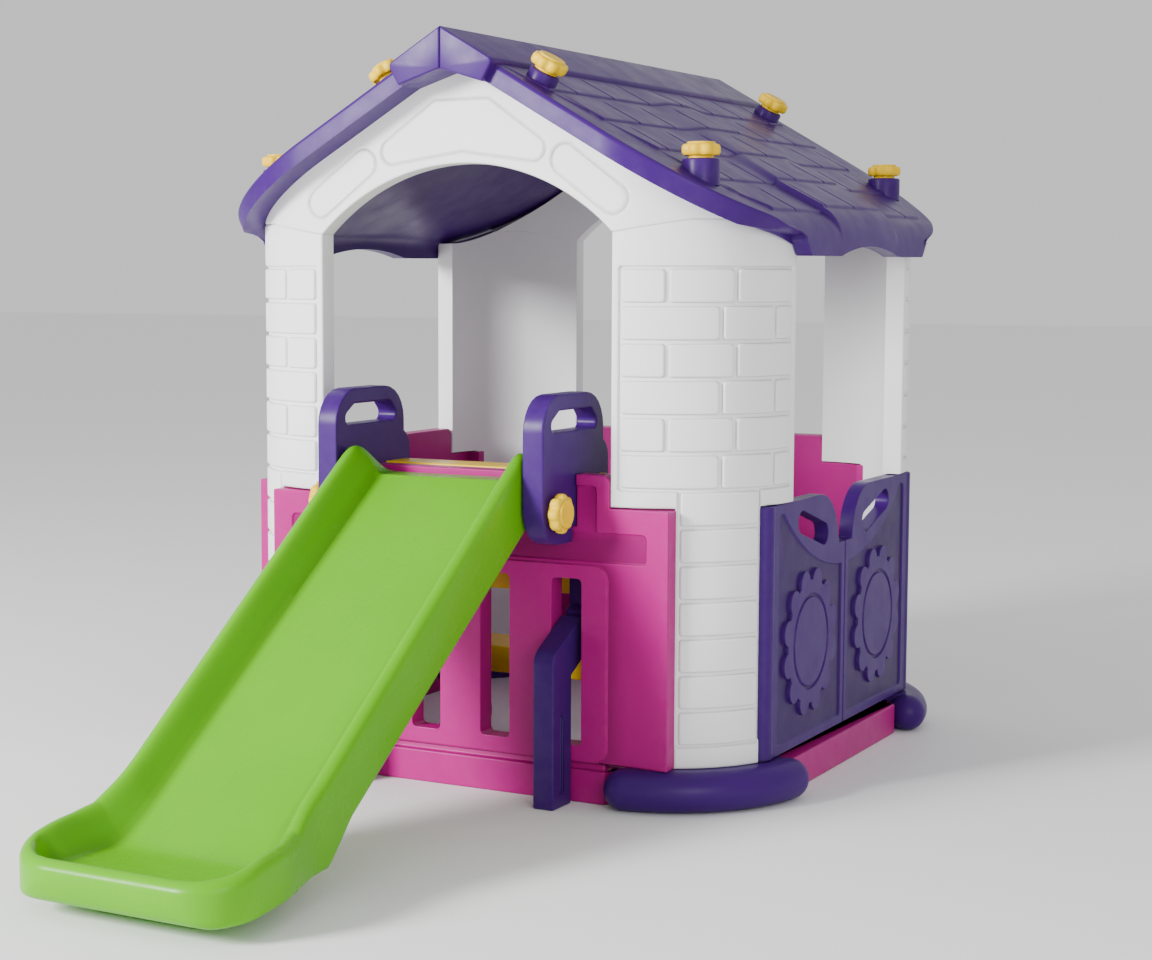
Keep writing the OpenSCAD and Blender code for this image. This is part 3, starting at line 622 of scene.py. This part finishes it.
# ---------------------------------------------------------------- roof
ROOF_CORNER_R = POST_R + 19
TILE_FROM = 84
TILE_ROWS = 5
TILE_PITCH = (EAVE_X - 36 - TILE_FROM) / TILE_ROWS
TILES_END = TILE_FROM + TILE_ROWS * TILE_PITCH
TILE_RISE = 5
TILE_W = 140
TILE_SHIFTS = (60, -10)
SIDE_JOINT_DEEP = 3.2
EAVE_R = 60
UNDER_R = 30
RIDGE_GAP = 0.2                           # half the line between the two roof halves
BAND_X = 98                               # half width of the raised band on the ridge
VERGE_R = 7
SKIRT_FROM_Z = FIELD_Z - FALL * HALF - 20
CUSP_RISE = 17
CUSP_HALF = 147
CORNER_RISE = 26
UPPER_BOSS = (26, 24)                     # radius and height
LOWER_BOSS = (30, 42)


def roof_half_length(x):
    """Half length of the roof in Y at a distance x from the ridge."""
    past = np.clip(x - (EAVE_X - ROOF_CORNER_R), 0, ROOF_CORNER_R)
    return VERGE_Y - ROOF_CORNER_R + np.sqrt(np.maximum(ROOF_CORNER_R ** 2 - past ** 2, 0))


def profile(top, edge, r, bottom, slope_x, n_arc, n_fall):
    """Points (x, z, normal x, normal z) down a roof plane, round its eave and down to bottom."""
    cx = edge - r
    cz = top - FALL * cx - r / math.cos(SLOPE)
    last = cx + r * math.sin(SLOPE)
    out = [(x, top - FALL * x, math.sin(SLOPE), math.cos(SLOPE)) for x in slope_x * last / slope_x[-1]]
    for k in range(1, n_arc + 1):
        a = (math.pi / 2 - SLOPE) * (1 - k / n_arc)
        out.append((cx + r * math.cos(a), cz + r * math.sin(a), math.cos(a), math.sin(a)))
    out += [(edge, cz + (bottom - cz) * k / n_fall, 1, 0) for k in range(1, n_fall + 1)]
    return np.array(out)


def middle_lift(x, y):
    """Raised middle of each roof half: its edge sweeps outwards and back in towards the eave."""
    outer = np.interp(x, [98, 110, 175, 241, 300, 426, 500], [100, 110, 130, 183, 165, 160, 147])
    inner = np.interp(x, [98, 110, 215, 270, 323, 380, 426, 500], [10, 20, 40, 60, 95, 125, 150, 140])
    rise = np.interp(x, [98, 160, 426, 520], [0, 8, 12, 12])
    return rise * (1 - smooth(np.minimum(inner, outer - 4), outer, np.abs(y)))


def tile_relief(x, y):
    """Overlapping courses of tiles inside a plain margin."""
    course = (x - TILE_FROM) / TILE_PITCH
    row = np.clip(np.floor(course), 0, TILE_ROWS - 1)
    t = np.clip(course - row, 0, 1)
    rise = 1 + (TILE_RISE - 1) * t
    tip = TILE_PITCH * (1 - t)
    rise = rise - edge_round(np.maximum(tip, 0), 4) * 0.8
    shift = np.where(row % 2 == 0, *TILE_SHIFTS)
    side = np.abs((y + shift) % TILE_W - TILE_W / 2)
    rise = rise - SIDE_JOINT_DEEP * (1 - smooth(0.5, 4, side)) * smooth(0.12, 0.3, t)
    limit = np.interp(x, [89, 250, 327, 445, 485], [538, 474, 446, 417, 367])
    inside = smooth(2, 0, np.abs(y) - limit) * smooth(TILE_FROM - 2, TILE_FROM + 2, x)
    inside = inside * smooth(TILES_END + 1, TILES_END - 1, x)
    return rise * inside


def roof_slab():
    """Right roof half without its ridge band and bosses."""
    marks = [TILE_FROM + k * TILE_PITCH for k in range(TILE_ROWS + 1)]
    slope_x = lines(RIDGE_GAP, 500, marks, (0, 0.7, 1.6, 2.8, 4.2), 4)
    outer = profile(FIELD_Z, EAVE_X, EAVE_R, EAVE_Z, slope_x, 16, 12)
    inner = profile(UNDER_Z, HALF + 2, UNDER_R, EAVE_Z, slope_x, 16, 12)
    inner[:, 1] = np.minimum(inner[:, 1], under_ridge(inner[:, 0]))
    edge_steps = np.array([0, 0.6, 1.6, 3, 5, 8])
    near_edge = 1 - edge_steps / VERGE_Y
    v = np.unique(np.concatenate([np.linspace(-1, 1, 401), near_edge, edge_steps / VERGE_Y - 1]))
    X, V = np.meshgrid(outer[:, 0], v, indexing="ij")
    Y = V * roof_half_length(X)
    sloping = outer[:, 3][:, None]
    lift = middle_lift(X, Y) * smooth(-0.05, 0.6, sloping) + tile_relief(X, Y) * (sloping > 0.8)
    lift = lift - edge_round((1 - np.abs(V)) * VERGE_Y, VERGE_R)
    cusp = CUSP_RISE * np.clip(1 - (Y / CUSP_HALF) ** 2, 0, 1)
    floor = EAVE_Z + cusp + CORNER_RISE * smooth(0.9, 1, np.abs(V))

    def surface(p, raise_by):
        z = p[:, 1][:, None] + p[:, 3][:, None] * raise_by
        low = np.clip((SKIRT_FROM_Z - p[:, 1]) / (SKIRT_FROM_Z - EAVE_Z), 0, 1)
        z = z + low[:, None] * (floor - EAVE_Z) * (p[:, 1][:, None] < SKIRT_FROM_Z)
        x = p[:, 0][:, None] + np.minimum(p[:, 2][:, None] * raise_by, 0)
        return np.stack([np.broadcast_to(x, z.shape), Y, z], -1)

    piece = Shape()
    piece.sheet(surface(outer, lift), surface(inner, np.zeros(Y.shape)))
    return piece


def boss(piece, origin, axis_tilt, r, height):
    """Short round boss that ends at origin, leaning away from the ridge by axis_tilt."""
    turn = leaning(axis_tilt)
    ring = [(r, -height), (r, -3), (r - 0.9, -0.9), (r - 3, 0), (4, 0)]
    piece.lathe(ring, lambda p: p @ turn.T + origin, 40)


def build_roof():
    seats = knob_seats()
    reach = roof_high[1]
    outline = rounded(
        [(RIDGE_GAP, RIDGE_UNDER_Z + RIDGE_PEAK), (RIDGE_FLAT, RIDGE_UNDER_Z),
         (BAND_X, RIDGE_Z - FALL * BAND_X), (RIDGE_GAP, RIDGE_Z)], [0, 3, 9, 0], 5)
    for side, matrix in (("right", np.eye(3)), ("left", MIRROR_X)):
        piece = roof_slab()
        piece.plate([outline], -reach, reach, 3,
                    lambda p: np.column_stack([p[:, 0], p[:, 2], p[:, 1]]))
        for name, (origin, tilt) in seats.items():
            if name.startswith("roof") and name.endswith("right"):
                r, height = UPPER_BOSS if "upper" in name else LOWER_BOSS
                boss(piece, origin, tilt, r, height)
        piece.turned(matrix).build("tiled_roof_" + side, "purple", "house", ["roof_" + side], sharp=40)


# ---------------------------------------------------------------- knobs
KNOB_R = 32
KNOB_H = 26
LOBES = 8
LOBE_DEEP = 0.13                          # share of the radius
KNOB_TURNS = 96
UPPER_KNOB_X = 137
UPPER_BOSS_RISE = 19


def knob_seats():
    """Where each knob sits: the point on its boss, and how far its axis leans from upright to +X."""
    seats = {}
    upper_y = HALF - WALL_T / 2
    normal = np.array([math.sin(SLOPE), 0, math.cos(SLOPE)])
    lower_low, lower_high = cad("roof_knob_lower_back_right")
    lower_mid = (lower_low + lower_high) / 2
    for sy, end in ((1, "back"), (-1, "front")):
        on_roof = np.array([UPPER_KNOB_X, sy * upper_y, FIELD_Z - FALL * UPPER_KNOB_X])
        base = on_roof + UPPER_BOSS_RISE * normal
        seats[f"roof_knob_upper_{end}_right"] = (base, SLOPE)
        seats[f"roof_knob_lower_{end}_right"] = (
            np.array([lower_mid[0], sy * lower_mid[1], lower_high[2] - KNOB_H - GAP]), 0)
    for kind in ("slide", "tread"):
        low, high = cad(f"{kind}_knob_right")
        mid = (low + high) / 2
        seats[f"{kind}_knob_right"] = (np.array([high[0] - KNOB_H - GAP, mid[1], mid[2]]), math.pi / 2)
    return seats


def knob_shape(origin, tilt):
    """Lobed hand knob: a low collar, a waisted skirt, eight lobes and a dished face.

    Each ring gives its share of the radius, its height and how strongly it is lobed.
    """
    angles = np.linspace(0, 2 * math.pi, KNOB_TURNS, endpoint=False)
    wave = 0.5 + 0.5 * np.cos(LOBES * angles)
    rings = [(0.60, 0.0, 0), (0.62, 0.4, 0), (0.62, 4, 0), (0.90, 5.2, 1), (0.97, 7.5, 1),
             (1.0, 10, 1), (1.0, 16, 1), (0.985, 19, 1), (0.93, 21.3, 0.9), (0.85, 22.3, 0.6),
             (0.74, 22.6, 0.2),
             (0.71, 23.4, 0), (0.70, 25.2, 0), (0.67, 26, 0), (0.5, 26, 0), (0.42, 25.3, 0), (0.05, 25, 0)]
    grid = []
    for share, z, lobed in rings:
        r = KNOB_R * share * (1 - lobed * LOBE_DEEP * (1 - wave) ** 1.6)
        height = np.full(KNOB_TURNS, z + GAP)
        grid.append(np.column_stack([r * np.cos(angles), r * np.sin(angles), height]))
    grid = np.array(grid)
    piece = Shape()
    piece.tube((grid.reshape(-1, 3) @ leaning(tilt).T + origin).reshape(grid.shape))
    return piece


def build_knobs():
    for name, (origin, tilt) in knob_seats().items():
        knob_shape(origin, tilt).build("lobed_" + name, "yellow", name, [name])
        twin = name.replace("_right", "_left")
        knob_shape(origin, tilt).turned(MIRROR_X).build("lobed_" + twin, "yellow", twin, [twin])


# ---------------------------------------------------------------- corner feet
NOSE_R = SEAT_Z / 2
NOSE_AT_R = POST_R + 12
FOOT_IN_R = POST_R - 46
FOOT_TURN = math.radians(9.5)
FOOT_RUN = 6


def foot_shape():
    """Foot of the corner at +X +Y: a bull-nosed bar on a quarter turn, with round ends."""
    angles = np.linspace(FOOT_TURN, math.pi / 2 - FOOT_TURN, 40)
    path = [(a, 0) for a in angles]
    path = [(angles[0], -FOOT_RUN)] + path + [(angles[-1], FOOT_RUN)]

    def sweep(section, stations):
        rows = []
        for a, run, scale in stations:
            away = np.array([math.cos(a), math.sin(a)])
            tangent = np.array([-math.sin(a), math.cos(a)])
            r = NOSE_AT_R + (section[:, 0] - NOSE_AT_R) * scale
            xy = CENTRE + r[:, None] * away + run * tangent
            z = NOSE_R + (section[:, 1] - NOSE_R) * scale
            rows.append(np.column_stack([xy, z]))
        return np.array(rows)

    turn = np.linspace(0, 2 * math.pi, 40, endpoint=False)
    circle = np.column_stack([NOSE_AT_R + NOSE_R * np.cos(turn), NOSE_R + NOSE_R * np.sin(turn)])
    caps = [(math.sin(t), math.cos(t)) for t in np.linspace(math.pi / 2 - 0.02, 0.15, 10)]
    nose = [(angles[0], -FOOT_RUN - NOSE_R * s, c) for s, c in caps]
    nose += [(a, run, 1) for a, run in path]
    nose += [(angles[-1], FOOT_RUN + NOSE_R * s, c) for s, c in reversed(caps)]
    bar = np.array(rounded([(FOOT_IN_R, 0), (NOSE_AT_R, 0), (NOSE_AT_R, SEAT_Z), (FOOT_IN_R, SEAT_Z)],
                           [3, 0, 0, 5], 4))
    piece = Shape()
    for section, stations in ((circle, nose), (bar, [(a, run, 1) for a, run in path])):
        piece.tube(sweep(section, stations))
    return piece


def build_feet():
    for corner, matrix in CORNERS:
        name = "corner_foot_" + corner
        foot_shape().turned(matrix).build("round_" + name, "purple", "house", [name])


# ---------------------------------------------------------------- slide
SLIDE_TOP_Z = 530
RUN_FLOOR_Z = 60
RIM_H = 68
SLIDE_FALL = 0.68
RUN_CORNER_R = 85
RUN_LOW_Z = 24
LIP_Z = 84
SLAB = 62
SLOPE_TOP_BACK = 54                       # the bed turns level this far before its end
CREST_BACK = 28                           # the rim is highest this far before that
BED_SOFT = 7
EDGE_R = 15                               # round edge of the rim
LIP_REACH = 34
UNDER_EDGE_R = 12
UNDER_BEND = 150                          # the underside joins the slope this far past the fold
UNDER_TOP_Z = SLIDE_TOP_Z - 17
THINNEST = 8
PAD_HALF = 90
SLIDE_BOSS_R = 17


def slide_shape():
    """Slide: bed and rims over an underside, with its pad and the bosses that meet the ladder."""
    low, high = cad("slide")
    front_y, end_y = low[1], high[1]
    run_half = high[0]
    seat_x = cad("ladder_frame_right")[0][0]
    slope_half = seat_x - 4
    slope_top = end_y - SLOPE_TOP_BACK
    fold_y = slope_top - (SLIDE_TOP_Z - RUN_FLOOR_Z) / SLIDE_FALL
    y = lines(front_y, end_y, [front_y, fold_y, slope_top, end_y],
              (0, 0.8, 2, 4, 7, 10, 14, 18, 23, 28, 34, 42), 10)
    widen = smooth(fold_y + 70, fold_y - 60, y)
    half = slope_half + (run_half - slope_half) * widen
    past = np.clip(front_y + RUN_CORNER_R - y, 0, RUN_CORNER_R)
    half = half - RUN_CORNER_R + np.sqrt(np.maximum(RUN_CORNER_R ** 2 - past ** 2, 0))
    steps = np.array([0, 0.7, 1.8, 3.3, 5.5, 8, 11, 14, 17, 20, 24, 28, 32, 37, 43, 50, 58, 66])
    share = np.concatenate([np.linspace(0, 0.52, 12), 1 - steps[::-1] / slope_half])
    share = np.concatenate([-share[:0:-1], share])
    U, Y = np.meshgrid(share, y)
    X = U * half[:, None]
    side = (1 - np.abs(U)) * slope_half
    from_front = Y - front_y
    cx = run_half - RUN_CORNER_R
    in_corner = (np.abs(X) > cx) & (from_front < RUN_CORNER_R)
    edge = np.minimum(side, from_front)
    rounded_edge = RUN_CORNER_R - np.hypot(np.abs(X) - cx, from_front - RUN_CORNER_R)
    edge = np.maximum(np.where(in_corner, rounded_edge, edge), 0)
    raw = RUN_FLOOR_Z + SLIDE_FALL * (Y - fold_y)
    bed = RUN_FLOOR_Z + BED_SOFT * np.logaddexp(0, (raw - RUN_FLOOR_Z) / BED_SOFT)
    bed = np.minimum(bed, SLIDE_TOP_Z)
    crest = slope_top - CREST_BACK
    crest_z = RUN_FLOOR_Z + SLIDE_FALL * (crest - fold_y) + RIM_H
    marks = np.array([
        (front_y, LIP_Z - 1), (fold_y - 140, LIP_Z + 8), (fold_y - 85, LIP_Z + 21),
        (fold_y - 35, LIP_Z + 26),
        (fold_y + 5, LIP_Z + 34), (fold_y + 85, RUN_FLOOR_Z + SLIDE_FALL * 85 + RIM_H - 18),
        (crest - 30, crest_z - 30 * SLIDE_FALL), (crest, crest_z), (crest + 22, crest_z - 2),
        (crest + 44, crest_z - 14), (end_y, SLIDE_TOP_Z + 5)])
    fine = np.arange(front_y - 40, end_y + 40, 2.0)
    rim_line = np.interp(fine, marks[:, 0], marks[:, 1])
    kernel = np.hanning(25)
    soft_line = np.convolve(np.pad(rim_line, 12, mode="edge"), kernel / kernel.sum(), mode="valid")
    rim = np.interp(Y, fine, np.minimum(soft_line, rim_line))
    reach = np.interp(Y, [front_y, fold_y - 60, fold_y + 60, end_y], [40, 52, 56, 52])
    reach = np.where(from_front < side, LIP_REACH, reach)
    fall = smooth(0, 1, np.clip((edge - EDGE_R) / (reach - EDGE_R), 0, 1))
    top = rim + (bed - rim) * fall - edge_round(edge, EDGE_R)
    under = np.interp(
        Y, [front_y, front_y + 6, front_y + 14, front_y + 24, fold_y + 94, fold_y + UNDER_BEND],
        [RUN_LOW_Z + 24, RUN_LOW_Z + 10, RUN_LOW_Z + 3, RUN_LOW_Z, RUN_LOW_Z + 19,
         RUN_FLOOR_Z + SLIDE_FALL * UNDER_BEND - SLAB])
    under = np.where(Y > fold_y + UNDER_BEND, np.minimum(raw - SLAB, UNDER_TOP_Z), under)
    lifted = raw - SLAB + 40 * smooth(slope_top, end_y, Y)
    under = np.where(Y > slope_top, np.minimum(lifted, UNDER_TOP_Z), under)
    under = under + edge_round(np.minimum(edge, side * 2), UNDER_EDGE_R) * 0.9
    piece = Shape()
    piece.sheet(np.stack([X, Y, top], -1), np.stack([X, Y, np.minimum(under, top - THINNEST)], -1))
    pad = box_outline(-PAD_HALF, PAD_HALF, front_y + 80, fold_y + 40, 12)
    piece.plate([pad], 0, RUN_FLOOR_Z - 12, 2, lambda p: p)
    knob_low, knob_high = cad("slide_knob_right")
    middle = (knob_low + knob_high) / 2
    for sign in (-1, 1):
        def place(p, sign=sign):
            return np.column_stack([sign * p[:, 2], middle[1] + p[:, 0], middle[2] + p[:, 1]])
        piece.lathe([(SLIDE_BOSS_R, slope_half - 20), (SLIDE_BOSS_R, seat_x - GAP)], place, 36)
    return piece


# ---------------------------------------------------------------- floor, light, camera
def build_stage():
    bpy.ops.mesh.primitive_plane_add(size=60)
    floor = bpy.context.object
    floor.name = "studio_floor"
    pale = bpy.data.materials.new("pale_floor")
    pale.use_nodes = True
    pale.node_tree.nodes["Principled BSDF"].inputs["Base Color"].default_value = (0.9, 0.9, 0.9, 1)
    pale.node_tree.nodes["Principled BSDF"].inputs["Roughness"].default_value = 0.75
    floor.data.materials.append(pale)


def area_light(name, place, aim, size, power):
    light = bpy.data.lights.new(name, "AREA")
    light.size = size
    light.energy = power
    lamp = bpy.data.objects.new(name, light)
    lamp.location = place
    direction = np.array(aim) - np.array(place)
    lamp.rotation_euler = Vector(direction).to_track_quat("-Z", "Y").to_euler()
    bpy.context.scene.collection.objects.link(lamp)


def build_light():
    world = bpy.data.worlds.new("studio")
    bpy.context.scene.world = world
    world.use_nodes = True
    world.node_tree.nodes["Background"].inputs["Color"].default_value = (1, 1, 1, 1)
    world.node_tree.nodes["Background"].inputs["Strength"].default_value = 0.8
    area_light("key", (-2.6, -4.6, 2.3), (0, 0, 0.6), 1.4, 600)
    area_light("fill", (3.8, -3.6, 1.6), (0, 0, 0.5), 2.0, 70)


def build_camera():
    view = bpy.data.cameras.new("photo_view")
    view.lens = 67.69
    view.sensor_width = 36
    view.shift_x = 0.0833
    camera = bpy.data.objects.new("photo_view", view)
    camera.location = (1.7824, -3.6135 + HOUSE_Y * MM, 0.8707)
    camera.rotation_euler = (math.radians(90 - 5.58), 0, math.radians(29.30))
    bpy.context.scene.collection.objects.link(camera)
    bpy.context.scene.camera = camera


# ---------------------------------------------------------------- the pieces
# node copies with rounded edges: width of the edge, body, nodes
SOFT_PIECES = (
    (2, "house", ("wall_front", "wall_back", "wall_left")),
    (4, "house", ("base_front_rail", "base_back_rail", "base_left_rail", "base_door_sill")),
    (4, "house", ("ladder_frame_right", "ladder_frame_left")),
    (3, "house", ("tread_top", "tread_middle", "tread_low")),
    (2, "door_front", ("door_leaf_front",)),
    (2, "door_back", ("door_leaf_back",)),
)

build_posts()
build_gables()
build_roof()
build_knobs()
build_feet()
slide_shape().build("moulded_slide", "green", "house", ["slide"], sharp=40)
for edge_width, body_name, node_names in SOFT_PIECES:
    for soft_node in node_names:
        softened(soft_node, edge_width, body_name)
build_stage()
build_light()
build_camera()
